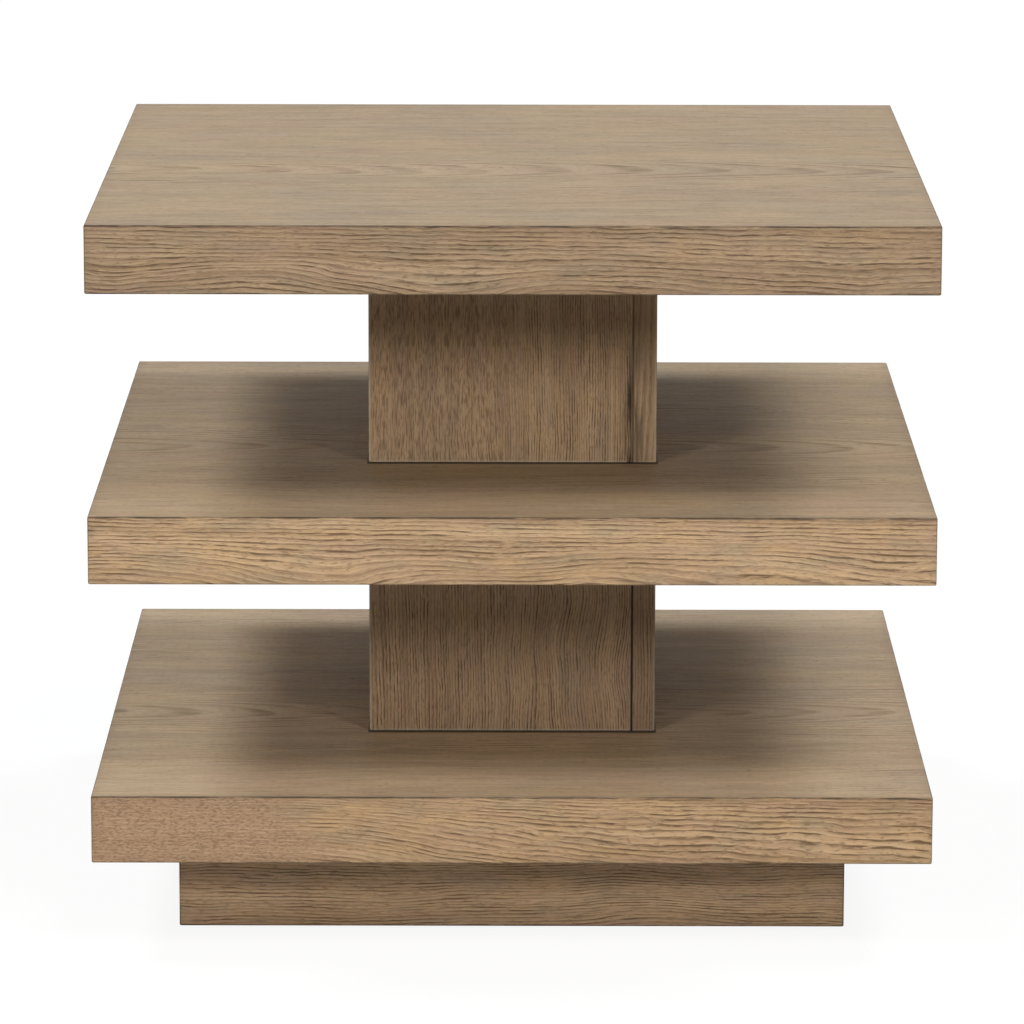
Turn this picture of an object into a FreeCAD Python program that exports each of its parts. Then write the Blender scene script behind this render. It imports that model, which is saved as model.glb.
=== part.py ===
import FreeCAD, Part
import os

from FreeCAD import Vector

# Tiered side table: three hollow tiers, two box columns and a recessed plinth.
# Millimetres, +Z up. The origin is on the floor under the middle of the table, and the front faces -Y.

# Overall sizes
WIDTH = 660.0  # each tier, along X
DEPTH = 660.0  # each tier, along Y
TIER_HEIGHT = 54.0
UPPER_GAP = 175.0  # clear height between the middle and the top tier
LOWER_GAP = 170.0  # clear height between the bottom and the middle tier
COLUMN_SIDE = 233.0
PLINTH_INSET = 65.0  # from a tier's edge to the plinth's face
PLINTH_HEIGHT = 69.5  # of the boards, above the glides

# Tier boards
TIER_BOARD = 19.0  # top panel and edge boards, equal so that their mitres meet
UNDERSIDE_BOARD = 9.0
RABBET_WIDTH = 9.0  # how far the underside panel is let into the edge boards
TIER_ARRIS = 1.4  # radius of the eased outer edges

# Tier core, between the top panel and the underside panel
CORE_MARGIN = 15.0  # core block beyond the column's faces
RIB_WIDTH = 36.0
TIER_BLOCK_LEG = 40.0

# Columns
COLUMN_BOARD = 19.0
COLUMN_ARRIS = 1.2  # radius of the eased edges of each panel
COLUMN_BLOCK_LEG = 60.0
COLUMN_BLOCK_HEIGHT = 40.0
NEAR_OFFSET = 14.0  # screw places in a block, from the two panels that it is glued to
FAR_OFFSET = 27.0

# Dowels in the lapped joints of a column
DOWEL_RADIUS = 4.0
DOWEL_EDGE_DEPTH = 20.0  # into the end of the lapped panel
DOWEL_FACE_DEPTH = 12.0  # into the inner face of the covering panel
DOWEL_END_DISTANCE = 45.0  # from the column's top and base
DOWEL_CHAMFER_LENGTH = 1.0
GLUE_FILM = 0.1

# Plinth
PLINTH_BOARD = 19.0
PLINTH_ARRIS = 1.4
PLINTH_BLOCK_LEG = 70.0
PLINTH_BLOCK_HEIGHT = 45.0
PLINTH_SCREW_OFFSET = 24.0  # from the two boards beside it

# Countersunk wood screws
SCREW_RADIUS = 2.5
SCREW_HEAD_RADIUS = 4.8
SCREW_HEAD_HEIGHT = 3.0
SCREW_POINT_LENGTH = 6.0
SCREW_CLEARANCE = 0.05
TOP_SCREW_BITE = 26.0  # into the tier above a column
BASE_SCREW_BITE = 30.0  # into the blocks at a column's base
PLINTH_SCREW_BITE = 26.0  # into the bottom tier

# Nylon tack glides
GLIDE_FOOT_RADIUS = 8.0
GLIDE_HEIGHT = 2.5
GLIDE_BEVEL_HEIGHT = 0.8
GLIDE_CORNER_DISTANCE = 45.0  # from the plinth's front and back faces
NAIL_RADIUS = 1.0
NAIL_LENGTH = 14.0
NAIL_POINT_LENGTH = 3.0

QUARTER_TURN = 90.0  # degrees
FULL_TURN = 360.0  # degrees
SIDES = ("front", "right", "back", "left")
UP = Vector(0, 0, 1)
ORIGIN = Vector(0, 0, 0)

# Levels
PLINTH_BASE = GLIDE_HEIGHT
BOTTOM_TIER_BASE = PLINTH_BASE + PLINTH_HEIGHT
LOWER_COLUMN_BASE = BOTTOM_TIER_BASE + TIER_HEIGHT
MIDDLE_TIER_BASE = LOWER_COLUMN_BASE + LOWER_GAP
UPPER_COLUMN_BASE = MIDDLE_TIER_BASE + TIER_HEIGHT
TOP_TIER_BASE = UPPER_COLUMN_BASE + UPPER_GAP

# Places that several pieces share
CORE_BASE = UNDERSIDE_BOARD
CORE_TOP = TIER_HEIGHT - TIER_BOARD
CORE_HEIGHT = CORE_TOP - CORE_BASE
PLINTH_WIDTH = WIDTH - 2 * PLINTH_INSET
PLINTH_DEPTH = DEPTH - 2 * PLINTH_INSET
COLUMN_INSIDE = COLUMN_SIDE / 2 - COLUMN_BOARD
PLINTH_SCREW_X = PLINTH_WIDTH / 2 - PLINTH_BOARD - PLINTH_SCREW_OFFSET
PLINTH_SCREW_Y = PLINTH_DEPTH / 2 - PLINTH_BOARD - PLINTH_SCREW_OFFSET


def prism(points, along):
    """A solid swept straight along a vector from a flat outline."""
    outline = Part.makePolygon(points + points[:1])
    return Part.Face(outline).extrude(along)


def turned(shape, quarters):
    """A copy turned about the table's upright axis by quarter turns."""
    copy = shape.copy()
    copy.rotate(ORIGIN, UP, QUARTER_TURN * quarters)
    return copy


def moved(shape, x, y, z):
    """A copy moved to a place."""
    copy = shape.copy()
    copy.translate(Vector(x, y, z))
    return copy


def centred_box(width, depth, height):
    """A box centred on the upright axis, with its base at zero."""
    return Part.makeBox(width, depth, height, Vector(-width / 2, -depth / 2, 0))


def eased_box(width, depth, height, radius):
    """A centred box with all its edges rounded."""
    box = centred_box(width, depth, height)
    return box.makeFillet(radius, box.Edges)


def rectangle(width, depth, level):
    """A closed rectangle centred on the upright axis."""
    x = width / 2
    y = depth / 2
    points = [Vector(-x, -y, level), Vector(x, -y, level), Vector(x, y, level), Vector(-x, y, level)]
    return Part.makePolygon(points + points[:1])


def revolved(profile):
    """A solid turned from a profile of radius and height points, which starts and ends on the axis."""
    points = [Vector(radius, 0, height) for radius, height in profile]
    outline = Part.makePolygon(points + points[:1])
    return Part.Face(outline).revolve(ORIGIN, UP, FULL_TURN)


def mitred_board(length, across, thickness, height):
    """The front board of a mitred frame that is `length` wide and `across` deep."""
    x = length / 2
    y = -across / 2
    plan = [
        Vector(-x, y, 0),
        Vector(x, y, 0),
        Vector(x - thickness, y + thickness, 0),
        Vector(-x + thickness, y + thickness, 0),
    ]
    return prism(plan, Vector(0, 0, height))


def corner_prism(x, y, leg, height):
    """A triangular glue block in the corner (x, y), with its legs pointing back towards the middle."""
    back_x = x - leg if x > 0 else x + leg
    back_y = y - leg if y > 0 else y + leg
    plan = [Vector(x, y, 0), Vector(back_x, y, 0), Vector(x, back_y, 0)]
    return prism(plan, Vector(0, 0, height))


def bored(shape, cutters):
    """The shape less the holes that reach it."""
    near = [cutter for cutter in cutters if shape.BoundBox.intersect(cutter.BoundBox)]
    return shape.cut(near) if near else shape


def corners(x, y):
    """The four corners of a rectangle centred on the upright axis."""
    return [(x, y), (-x, y), (-x, -y), (x, -y)]


# Screws


def screw(length, clearance):
    """A countersunk screw pointing up, with its head's face at zero, or its hole where clearance is given."""
    shank = SCREW_RADIUS + clearance
    tip = length + clearance
    return revolved(
        [
            (0, 0),
            (SCREW_HEAD_RADIUS + clearance, 0),
            (shank, SCREW_HEAD_HEIGHT + clearance),
            (shank, length - SCREW_POINT_LENGTH),
            (0, tip),
        ]
    )


def screws_at(places, level, length, clearance):
    """Equal screws, or their holes, at a list of places."""
    model = screw(length, clearance)
    return [moved(model, x, y, level) for x, y in places]


def block_places(along_x, along_y):
    """One place in each corner block of a column, turned from block to block."""
    start = Vector(COLUMN_INSIDE - along_x, COLUMN_INSIDE - along_y, 0)
    places = []
    for quarters in range(len(SIDES)):
        point = turned(Part.Vertex(start), quarters).Point
        places.append((point.x, point.y))
    return places


def column_top_screws(column_base, gap, clearance):
    """From a column's top blocks up into the tier above."""
    level = column_base + gap - COLUMN_BLOCK_HEIGHT
    length = COLUMN_BLOCK_HEIGHT + TOP_SCREW_BITE
    return screws_at(block_places(NEAR_OFFSET, FAR_OFFSET), level, length, clearance)


def column_base_screws(column_base, clearance):
    """From the underside of a tier, through it and up into the base blocks of the column on it."""
    level = column_base - TIER_HEIGHT
    length = TIER_HEIGHT + BASE_SCREW_BITE
    return screws_at(block_places(FAR_OFFSET, NEAR_OFFSET), level, length, clearance)


def plinth_screws(clearance):
    """From the plinth's corner blocks up into the bottom tier's ribs."""
    level = BOTTOM_TIER_BASE - PLINTH_BLOCK_HEIGHT
    length = PLINTH_BLOCK_HEIGHT + PLINTH_SCREW_BITE
    return screws_at(corners(PLINTH_SCREW_X, PLINTH_SCREW_Y), level, length, clearance)


# Tiers


def tier_top_panel():
    """The upper skin, mitred all round so that it narrows downwards."""
    lower = rectangle(WIDTH - 2 * TIER_BOARD, DEPTH - 2 * TIER_BOARD, CORE_TOP)
    upper = rectangle(WIDTH, DEPTH, TIER_HEIGHT)
    return Part.makeLoft([lower, upper], True, True)


def tier_edge_board(length, across):
    """The front edge board: mitred at its ends and top, with a rabbet for the underside panel."""
    outer = -across / 2
    inner = outer + TIER_BOARD
    rabbet = inner - RABBET_WIDTH
    left = -length / 2
    section = [
        Vector(left, outer, 0),
        Vector(left, outer, TIER_HEIGHT),
        Vector(left, inner, CORE_TOP),
        Vector(left, inner, CORE_BASE),
        Vector(left, rabbet, CORE_BASE),
        Vector(left, rabbet, 0),
    ]
    profile = prism(section, Vector(length, 0, 0))
    return mitred_board(length, across, TIER_BOARD, TIER_HEIGHT).common(profile)


def tier_underside_panel():
    """The lower skin, let into the rabbets of the edge boards."""
    margin = TIER_BOARD - RABBET_WIDTH
    return centred_box(WIDTH - 2 * margin, DEPTH - 2 * margin, UNDERSIDE_BOARD)


def tier_core_block():
    """The solid block that the column screws go into."""
    side = COLUMN_SIDE + 2 * CORE_MARGIN
    return moved(centred_box(side, side, CORE_HEIGHT), 0, 0, CORE_BASE)


def tier_core_ribs():
    """Two long ribs over the plinth's screws, and four short ones from the core block outwards."""
    block = COLUMN_SIDE / 2 + CORE_MARGIN
    side_length = PLINTH_SCREW_X - RIB_WIDTH / 2 - block
    end_length = DEPTH / 2 - TIER_BOARD - block
    long_rib = centred_box(RIB_WIDTH, DEPTH - 2 * TIER_BOARD, CORE_HEIGHT)
    side_rib = centred_box(side_length, RIB_WIDTH, CORE_HEIGHT)
    end_rib = centred_box(RIB_WIDTH, end_length, CORE_HEIGHT)
    ribs = []
    for way in (-1, 1):
        ribs.append(moved(long_rib, way * PLINTH_SCREW_X, 0, CORE_BASE))
        ribs.append(moved(side_rib, way * (block + side_length / 2), 0, CORE_BASE))
        ribs.append(moved(end_rib, 0, way * (block + end_length / 2), CORE_BASE))
    return ribs


def tier_corner_blocks():
    """Glue blocks behind the upright mitres."""
    places = corners(WIDTH / 2 - TIER_BOARD, DEPTH / 2 - TIER_BOARD)
    return [moved(corner_prism(x, y, TIER_BLOCK_LEG, CORE_HEIGHT), 0, 0, CORE_BASE) for x, y in places]


def build_tier(name, base, holes):
    """All pieces of one tier, raised to its level and bored for the screws that pass through it."""
    envelope = eased_box(WIDTH, DEPTH, TIER_HEIGHT, TIER_ARRIS)
    pieces = {"top_panel": tier_top_panel().common(envelope)}
    spans = [(WIDTH, DEPTH), (DEPTH, WIDTH)] * 2
    for quarters, (side, (length, across)) in enumerate(zip(SIDES, spans)):
        board = turned(tier_edge_board(length, across), quarters)
        pieces[side + "_edge"] = board.common(envelope)
    pieces["underside_panel"] = tier_underside_panel()
    pieces["core_block"] = tier_core_block()
    pieces["core_ribs"] = Part.makeCompound(tier_core_ribs())
    pieces["corner_blocks"] = Part.makeCompound(tier_corner_blocks())
    return {name + "_" + piece: bored(moved(shape, 0, 0, base), holes) for piece, shape in pieces.items()}


# Columns


def column_panel(gap):
    """The front panel: it covers the left panel's end and butts against the inside of the right panel."""
    length = COLUMN_SIDE - COLUMN_BOARD
    panel = eased_box(length, COLUMN_BOARD, gap, COLUMN_ARRIS)
    return moved(panel, -COLUMN_BOARD / 2, -(COLUMN_SIDE - COLUMN_BOARD) / 2, 0)


def dowel(clearance):
    """A chamfered dowel along X in the joint at the right end of the front panel, or its hole."""
    radius = DOWEL_RADIUS + clearance
    start = -DOWEL_EDGE_DEPTH - clearance
    end = DOWEL_FACE_DEPTH + clearance
    peg = revolved(
        [
            (0, start),
            (radius - DOWEL_CHAMFER_LENGTH, start),
            (radius, start + DOWEL_CHAMFER_LENGTH),
            (radius, end - DOWEL_CHAMFER_LENGTH),
            (radius - DOWEL_CHAMFER_LENGTH, end),
            (0, end),
        ]
    )
    peg.rotate(ORIGIN, Vector(0, 1, 0), QUARTER_TURN)
    return moved(peg, COLUMN_INSIDE, -(COLUMN_SIDE - COLUMN_BOARD) / 2, 0)


def column_dowels(gap, clearance):
    """Two dowels, or their holes, in each of the four lapped joints."""
    peg = dowel(clearance)
    pegs = []
    for quarters in range(len(SIDES)):
        for level in (DOWEL_END_DISTANCE, gap - DOWEL_END_DISTANCE):
            pegs.append(turned(moved(peg, 0, 0, level), quarters))
    return pegs


def column_blocks(level):
    """Glue blocks in the four inner corners, with their undersides at a level."""
    places = corners(COLUMN_INSIDE, COLUMN_INSIDE)
    model = [corner_prism(x, y, COLUMN_BLOCK_LEG, COLUMN_BLOCK_HEIGHT) for x, y in places]
    return Part.makeCompound([moved(block, 0, 0, level) for block in model])


def build_column(name, base, gap):
    """All pieces of one box column, with the screws at its two ends."""
    pegs = column_dowels(gap, 0)
    peg_holes = column_dowels(gap, GLUE_FILM)
    panel = column_panel(gap)
    pieces = {}
    for quarters, side in enumerate(SIDES):
        pieces[side + "_panel"] = bored(turned(panel, quarters), peg_holes)
    pieces["dowels"] = Part.makeCompound(pegs)
    pieces["top_blocks"] = column_blocks(gap - COLUMN_BLOCK_HEIGHT)
    pieces["base_blocks"] = column_blocks(0)
    raised = {name + "_" + piece: moved(shape, 0, 0, base) for piece, shape in pieces.items()}
    top_holes = column_top_screws(base, gap, SCREW_CLEARANCE)
    base_holes = column_base_screws(base, SCREW_CLEARANCE)
    raised[name + "_top_blocks"] = bored(raised[name + "_top_blocks"], top_holes)
    raised[name + "_base_blocks"] = bored(raised[name + "_base_blocks"], base_holes)
    raised[name + "_top_screws"] = Part.makeCompound(column_top_screws(base, gap, 0))
    raised[name + "_base_screws"] = Part.makeCompound(column_base_screws(base, 0))
    return raised


# Plinth


def nail(clearance):
    """A glide's nail pointing up from the glide's upper face, or its hole where clearance is given."""
    radius = NAIL_RADIUS + clearance
    shoulder = GLIDE_HEIGHT + NAIL_LENGTH - NAIL_POINT_LENGTH
    tip = GLIDE_HEIGHT + NAIL_LENGTH + clearance
    return revolved([(0, GLIDE_HEIGHT), (radius, GLIDE_HEIGHT), (radius, shoulder), (0, tip)])


def glide():
    """A tack glide: a foot with a bevelled rim, fixed on its nail."""
    foot = revolved(
        [
            (0, 0),
            (GLIDE_FOOT_RADIUS - GLIDE_BEVEL_HEIGHT, 0),
            (GLIDE_FOOT_RADIUS, GLIDE_BEVEL_HEIGHT),
            (GLIDE_FOOT_RADIUS, GLIDE_HEIGHT),
            (0, GLIDE_HEIGHT),
        ]
    )
    return foot.fuse(nail(0))


def at_glides(shape):
    """Copies at the four glides: two under the right board and two under the left board."""
    x = (PLINTH_WIDTH - PLINTH_BOARD) / 2
    y = PLINTH_DEPTH / 2 - GLIDE_CORNER_DISTANCE
    return [moved(shape, at_x, at_y, 0) for at_x, at_y in corners(x, y)]


def build_plinth():
    """The mitred frame under the bottom tier, with its blocks, screws and glides."""
    envelope = eased_box(PLINTH_WIDTH, PLINTH_DEPTH, PLINTH_HEIGHT, PLINTH_ARRIS)
    spans = [(PLINTH_WIDTH, PLINTH_DEPTH), (PLINTH_DEPTH, PLINTH_WIDTH)] * 2
    nail_holes = at_glides(nail(SCREW_CLEARANCE))
    pieces = {}
    for quarters, (side, (length, across)) in enumerate(zip(SIDES, spans)):
        board = turned(mitred_board(length, across, PLINTH_BOARD, PLINTH_HEIGHT), quarters).common(envelope)
        pieces["plinth_" + side + "_board"] = bored(moved(board, 0, 0, PLINTH_BASE), nail_holes)
    level = BOTTOM_TIER_BASE - PLINTH_BLOCK_HEIGHT
    places = corners(PLINTH_WIDTH / 2 - PLINTH_BOARD, PLINTH_DEPTH / 2 - PLINTH_BOARD)
    blocks = [corner_prism(x, y, PLINTH_BLOCK_LEG, PLINTH_BLOCK_HEIGHT) for x, y in places]
    raised = Part.makeCompound([moved(block, 0, 0, level) for block in blocks])
    pieces["plinth_corner_blocks"] = bored(raised, plinth_screws(SCREW_CLEARANCE))
    pieces["plinth_screws"] = Part.makeCompound(plinth_screws(0))
    pieces["plinth_glides"] = Part.makeCompound(at_glides(glide()))
    return pieces


def build_table():
    """Every piece of the table by its name."""
    lower_base_holes = column_base_screws(LOWER_COLUMN_BASE, SCREW_CLEARANCE)
    lower_top_holes = column_top_screws(LOWER_COLUMN_BASE, LOWER_GAP, SCREW_CLEARANCE)
    upper_base_holes = column_base_screws(UPPER_COLUMN_BASE, SCREW_CLEARANCE)
    upper_top_holes = column_top_screws(UPPER_COLUMN_BASE, UPPER_GAP, SCREW_CLEARANCE)
    bottom_holes = plinth_screws(SCREW_CLEARANCE) + lower_base_holes
    pieces = build_plinth()
    pieces.update(build_tier("bottom_tier", BOTTOM_TIER_BASE, bottom_holes))
    pieces.update(build_column("lower_column", LOWER_COLUMN_BASE, LOWER_GAP))
    pieces.update(build_tier("middle_tier", MIDDLE_TIER_BASE, lower_top_holes + upper_base_holes))
    pieces.update(build_column("upper_column", UPPER_COLUMN_BASE, UPPER_GAP))
    pieces.update(build_tier("top_tier", TOP_TIER_BASE, upper_top_holes))
    return pieces


os.makedirs("parts", exist_ok=True)
for piece_name, piece_shape in build_table().items():
    piece_shape.exportStep("parts/" + piece_name + ".step")
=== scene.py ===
"""Dresses the tiered side table: stained oak veneer, raw wood inside, hardware, studio and camera.

Lengths are metres in the table's own frame: +Z is up, -Y is towards the front and the floor is at 0.
"""
import logging
import math
import random
from collections.abc import Callable, Mapping, Sequence
from dataclasses import dataclass, field, replace
from enum import Enum

import bmesh
import bpy
from mathutils import Color, Matrix, Vector


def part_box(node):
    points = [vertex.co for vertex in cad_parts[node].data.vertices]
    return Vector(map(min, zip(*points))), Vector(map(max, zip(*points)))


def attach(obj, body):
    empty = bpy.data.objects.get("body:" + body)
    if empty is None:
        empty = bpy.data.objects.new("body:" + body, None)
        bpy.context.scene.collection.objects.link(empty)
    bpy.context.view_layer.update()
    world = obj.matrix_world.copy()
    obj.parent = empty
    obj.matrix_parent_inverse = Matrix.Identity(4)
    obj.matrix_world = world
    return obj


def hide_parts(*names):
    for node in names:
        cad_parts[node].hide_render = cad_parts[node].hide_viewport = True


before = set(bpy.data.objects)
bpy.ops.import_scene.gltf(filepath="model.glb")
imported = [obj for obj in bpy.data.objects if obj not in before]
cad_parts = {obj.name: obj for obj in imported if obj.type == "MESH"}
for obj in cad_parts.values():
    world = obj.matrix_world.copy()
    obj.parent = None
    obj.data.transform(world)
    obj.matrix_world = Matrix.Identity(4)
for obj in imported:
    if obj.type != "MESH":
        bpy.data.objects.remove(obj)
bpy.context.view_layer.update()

LOG = logging.getLogger("side_table")
BODY = "root"
MM = 0.001
WELD = 0.01 * MM
IMAGE_SIDE = 1024
DRAW_SEED = 26

Colour = tuple[float, float, float, float]
Span = tuple[float, float]
Socket = bpy.types.NodeSocket
Material = bpy.types.Material
Sockets = Mapping[str | int, object]
WHITE: Colour = (1.0, 1.0, 1.0, 1.0)
DISPLAY_WHITE = 255
LUMA = (0.2126, 0.7152, 0.0722)
NOISE_MEAN = 0.5

# The Mix node's colour sockets share their names with its number sockets, so they go by place.
MIX_SHARE = 0
MIX_FIRST = 6
MIX_SECOND = 7
MIX_RESULT = 2


def tone(red: int, green: int, blue: int) -> Colour:
    """Gives the linear colour of three display values from 0 to 255."""
    shown = Color((red / DISPLAY_WHITE, green / DISPLAY_WHITE, blue / DISPLAY_WHITE))
    return (*shown.from_srgb_to_scene_linear(), 1.0)


def toned(colour: Colour, share: float, greyed: float = 0.0) -> Colour:
    """Makes a colour brighter or darker, and greyer.

    Args:
        colour: the linear colour.
        share: what each of its parts is multiplied by.
        greyed: how far it goes towards its own grey, from 0 to 1.

    Returns:
        The changed colour.
    """
    parts = [part * share for part in colour[:3]]
    grey = sum(part * weight for part, weight in zip(parts, LUMA))
    red, green, blue = (part + (grey - part) * greyed for part in parts)
    return red, green, blue, colour[3]


class NodeGraph:
    """One node tree, and the only place where nodes are made."""

    def __init__(self, tree: bpy.types.NodeTree) -> None:
        """Empties the tree and keeps it."""
        self.tree = tree
        tree.nodes.clear()

    def node(self, kind: str, sockets: Sockets | None = None, **settings: object) -> bpy.types.Node:
        """Adds a node.

        Args:
            kind: the node's type.
            sockets: a value, Field or output socket for each input, by name or place.
            settings: properties of the node, which are set first.

        Returns:
            The new node.
        """
        made = self.tree.nodes.new(kind)
        for name, value in settings.items():
            setattr(made, name, value)
        for key, value in (sockets or {}).items():
            self.feed(made.inputs[key], value)
        return made

    def out(self, kind: str, sockets: Sockets | None = None, **settings: object) -> Socket:
        """Adds a node in the same way and gives its first output."""
        return self.node(kind, sockets, **settings).outputs[0]

    def feed(self, target: Socket, value: object) -> None:
        """Links or sets one input.

        Args:
            target: the input socket.
            value: a Field, an output socket, a list of those for one input, or a plain value.
        """
        if isinstance(value, list):
            for item in value:
                self.feed(target, item)
            return
        source = value.socket if isinstance(value, Field) else value
        if isinstance(source, Socket):
            self.tree.links.new(source, target)
        else:
            target.default_value = source


def maths(operation: str, swapped: bool = False) -> Callable[..., "Field"]:
    """Makes the method of a Field that stands for one operation.

    Args:
        operation: the Math node's operation.
        swapped: whether the other number comes first.

    Returns:
        The method, which takes the other number where the operation needs one.
    """

    def method(this: "Field", other: "Field | float" = 0.0) -> "Field":
        """Adds the Math node.

        Args:
            this: the Field at hand.
            other: the other number.

        Returns:
            The node's result.
        """
        first, second = (other, this) if swapped else (this, other)
        result = this.graph.out("ShaderNodeMath", {0: first, 1: second}, operation=operation)
        return Field(this.graph, result)

    return method


class Field:
    """A number that varies from place to place, with Python's own arithmetic."""

    def __init__(self, graph: NodeGraph, socket: Socket) -> None:
        """Wraps an output socket of the graph."""
        self.graph = graph
        self.socket = socket

    __add__ = __radd__ = maths("ADD")
    __sub__ = maths("SUBTRACT")
    __rsub__ = maths("SUBTRACT", swapped=True)
    __mul__ = __rmul__ = maths("MULTIPLY")
    __truediv__ = maths("DIVIDE")
    __rtruediv__ = maths("DIVIDE", swapped=True)
    __pow__ = maths("POWER")
    __rpow__ = maths("POWER", swapped=True)
    __abs__ = maths("ABSOLUTE")
    least = maths("MINIMUM")
    most = maths("MAXIMUM")
    fraction = maths("FRACT")

    def __neg__(self) -> "Field":
        """Turns the sign."""
        return self * -1.0

    def rise(self, start: float, end: float) -> "Field":
        """Goes smoothly from 0 to 1.

        Args:
            start: where the result is 0.
            end: where the result is 1, which may lie below the start.

        Returns:
            The smooth step.
        """
        sockets = {"Value": self, "From Min": start, "From Max": end}
        step = self.graph.out("ShaderNodeMapRange", sockets, interpolation_type="SMOOTHSTEP")
        return Field(self.graph, step)

    def between(self, start: float, full: float, fade: float, end: float) -> "Field":
        """Rises from 0 to 1 between the first two values and falls again between the last two."""
        return self.rise(start, full) * self.rise(end, fade)

    def mixed(self, first: Socket | Colour, second: Socket | Colour, blend: str = "MIX") -> Socket:
        """Mixes two colours, with this as the share of the second.

        Args:
            first: the colour below.
            second: the colour above.
            blend: how the second colour is laid on.

        Returns:
            The mixed colour.
        """
        sockets = {MIX_SHARE: self, MIX_FIRST: first, MIX_SECOND: second}
        made = self.graph.node("ShaderNodeMix", sockets, data_type="RGBA", blend_type=blend)
        return made.outputs[MIX_RESULT]


Place = tuple[Field, Field, Field]


def smooth_noise(point: Sequence[Field | float], detail: float, roughness: float) -> Field:
    """Samples smooth noise, with features about one unit across.

    Args:
        point: the three coordinates, of which the first is a Field.
        detail: number of finer layers.
        roughness: weight of the finer layers.

    Returns:
        Noise from 0 to 1, about 0.5 on average.
    """
    graph = point[0].graph
    where = graph.out("ShaderNodeCombineXYZ", dict(zip("XYZ", point)))
    sockets = {"Vector": where, "Scale": 1.0, "Detail": detail, "Roughness": roughness}
    return Field(graph, graph.out("ShaderNodeTexNoise", sockets, noise_dimensions="3D"))


class ShaderGraph(NodeGraph):
    """The node tree of one material."""

    def __init__(self, name: str) -> None:
        """Makes the material.

        Args:
            name: the material's name.
        """
        self.material = bpy.data.materials.new(name)
        self.material.use_nodes = True
        super().__init__(self.material.node_tree)

    def place(self) -> Place:
        """Gives the object coordinates x, y and z in metres."""
        where = self.node("ShaderNodeTexCoord").outputs["Object"]
        return tuple(Field(self, way) for way in self.node("ShaderNodeSeparateXYZ", {0: where}).outputs)

    def surface(self, sockets: Sockets, height: Field, depth: float) -> Material:
        """Ends the material in one shader.

        Args:
            sockets: what the shader's inputs take.
            height: relief from 0 to 1.
            depth: height in metres of a relief of 1.

        Returns:
            The finished material.
        """
        bump = self.out("ShaderNodeBump", {"Strength": 1.0, "Distance": depth, "Height": height})
        shader = self.out("ShaderNodeBsdfPrincipled", {**sockets, "Normal": bump})
        self.node("ShaderNodeOutputMaterial", {"Surface": shader})
        return self.material


class Side(Enum):
    """The sides of the table, in quarter turns from the front."""

    FRONT = 0
    RIGHT = 1
    BACK = 2
    LEFT = 3

    @property
    def word(self) -> str:
        """Gives the side as node names spell it."""
        return self.name.lower()

    def turned(self, place: Place) -> Place:
        """Turns coordinates of the table's frame so that this side faces the front.

        Args:
            place: coordinates in the table's frame.

        Returns:
            The coordinates to the right, to the back and up, as seen from this side.
        """
        x, y, z = place
        if self is Side.FRONT:
            return x, y, z
        if self is Side.RIGHT:
            return y, -x, z
        if self is Side.BACK:
            return -x, -y, z
        return -y, x, z


class Axis(Enum):
    """The axes of the table's frame that raw wood's grain runs along."""

    RIGHT = 0
    BACK = 1
    UP = 2


class Grain(Enum):
    """Which way the grain runs on a board, seen from its own side."""

    LENGTHWISE = "along a board that stands on edge"
    UPRIGHT = "up a panel"
    FLAT = "along a panel that lies flat"


@dataclass(frozen=True)
class Marks:
    """Noise that is stretched along the grain, as the marks in wood are.

    Marks begin to show where the noise reaches the start of their span, and show fully from its end on.
    Each kind of marks keeps a distance of its own, `shift`, from the seed of the leaf that it is on.
    """

    length: float
    width: float
    shift: float = 0.0
    span: Span = (0.0, 1.0)
    detail: float = 2.0
    roughness: float = 0.5

    def noise(self, along: Field, across: Field | float, seed: float) -> Field:
        """Gives the noise on a face, from 0 to 1, at distances along and across the marks."""
        point = (along / self.length, across / self.width, seed + self.shift)
        return smooth_noise(point, self.detail, self.roughness)

    def swing(self, along: Field, across: Field | float, seed: float) -> Field:
        """Gives the same noise from -0.5 to 0.5."""
        return self.noise(along, across, seed) - NOISE_MEAN

    def shown(self, along: Field, across: Field | float, seed: float) -> Field:
        """Gives how far the marks show, from 0 to 1."""
        return self.noise(along, across, seed).rise(*self.span)

    def solid(self, place: Place, seed: float = 0.0) -> Field:
        """Gives the noise right through a piece, whose grain runs along the first coordinate.

        Args:
            place: the coordinates, with the one along the grain first.
            seed: how far the noise is moved.

        Returns:
            The noise, from 0 to 1.
        """
        along, across, through = place
        point = (along / self.length, across / self.width, through / self.width + seed)
        return smooth_noise(point, self.detail, self.roughness)


# Between these a leaf is drawn for a board that the photograph doesn't show.
SEEDS: Span = (10, 90)
HEART_SHARES: Span = (0.8, 1.6)
HEART_DEPTHS: Span = (0.02, 0.05)
LEANS: Span = (-0.04, 0.04)
RING_SHARES: Span = (0.9, 1.2)


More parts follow.
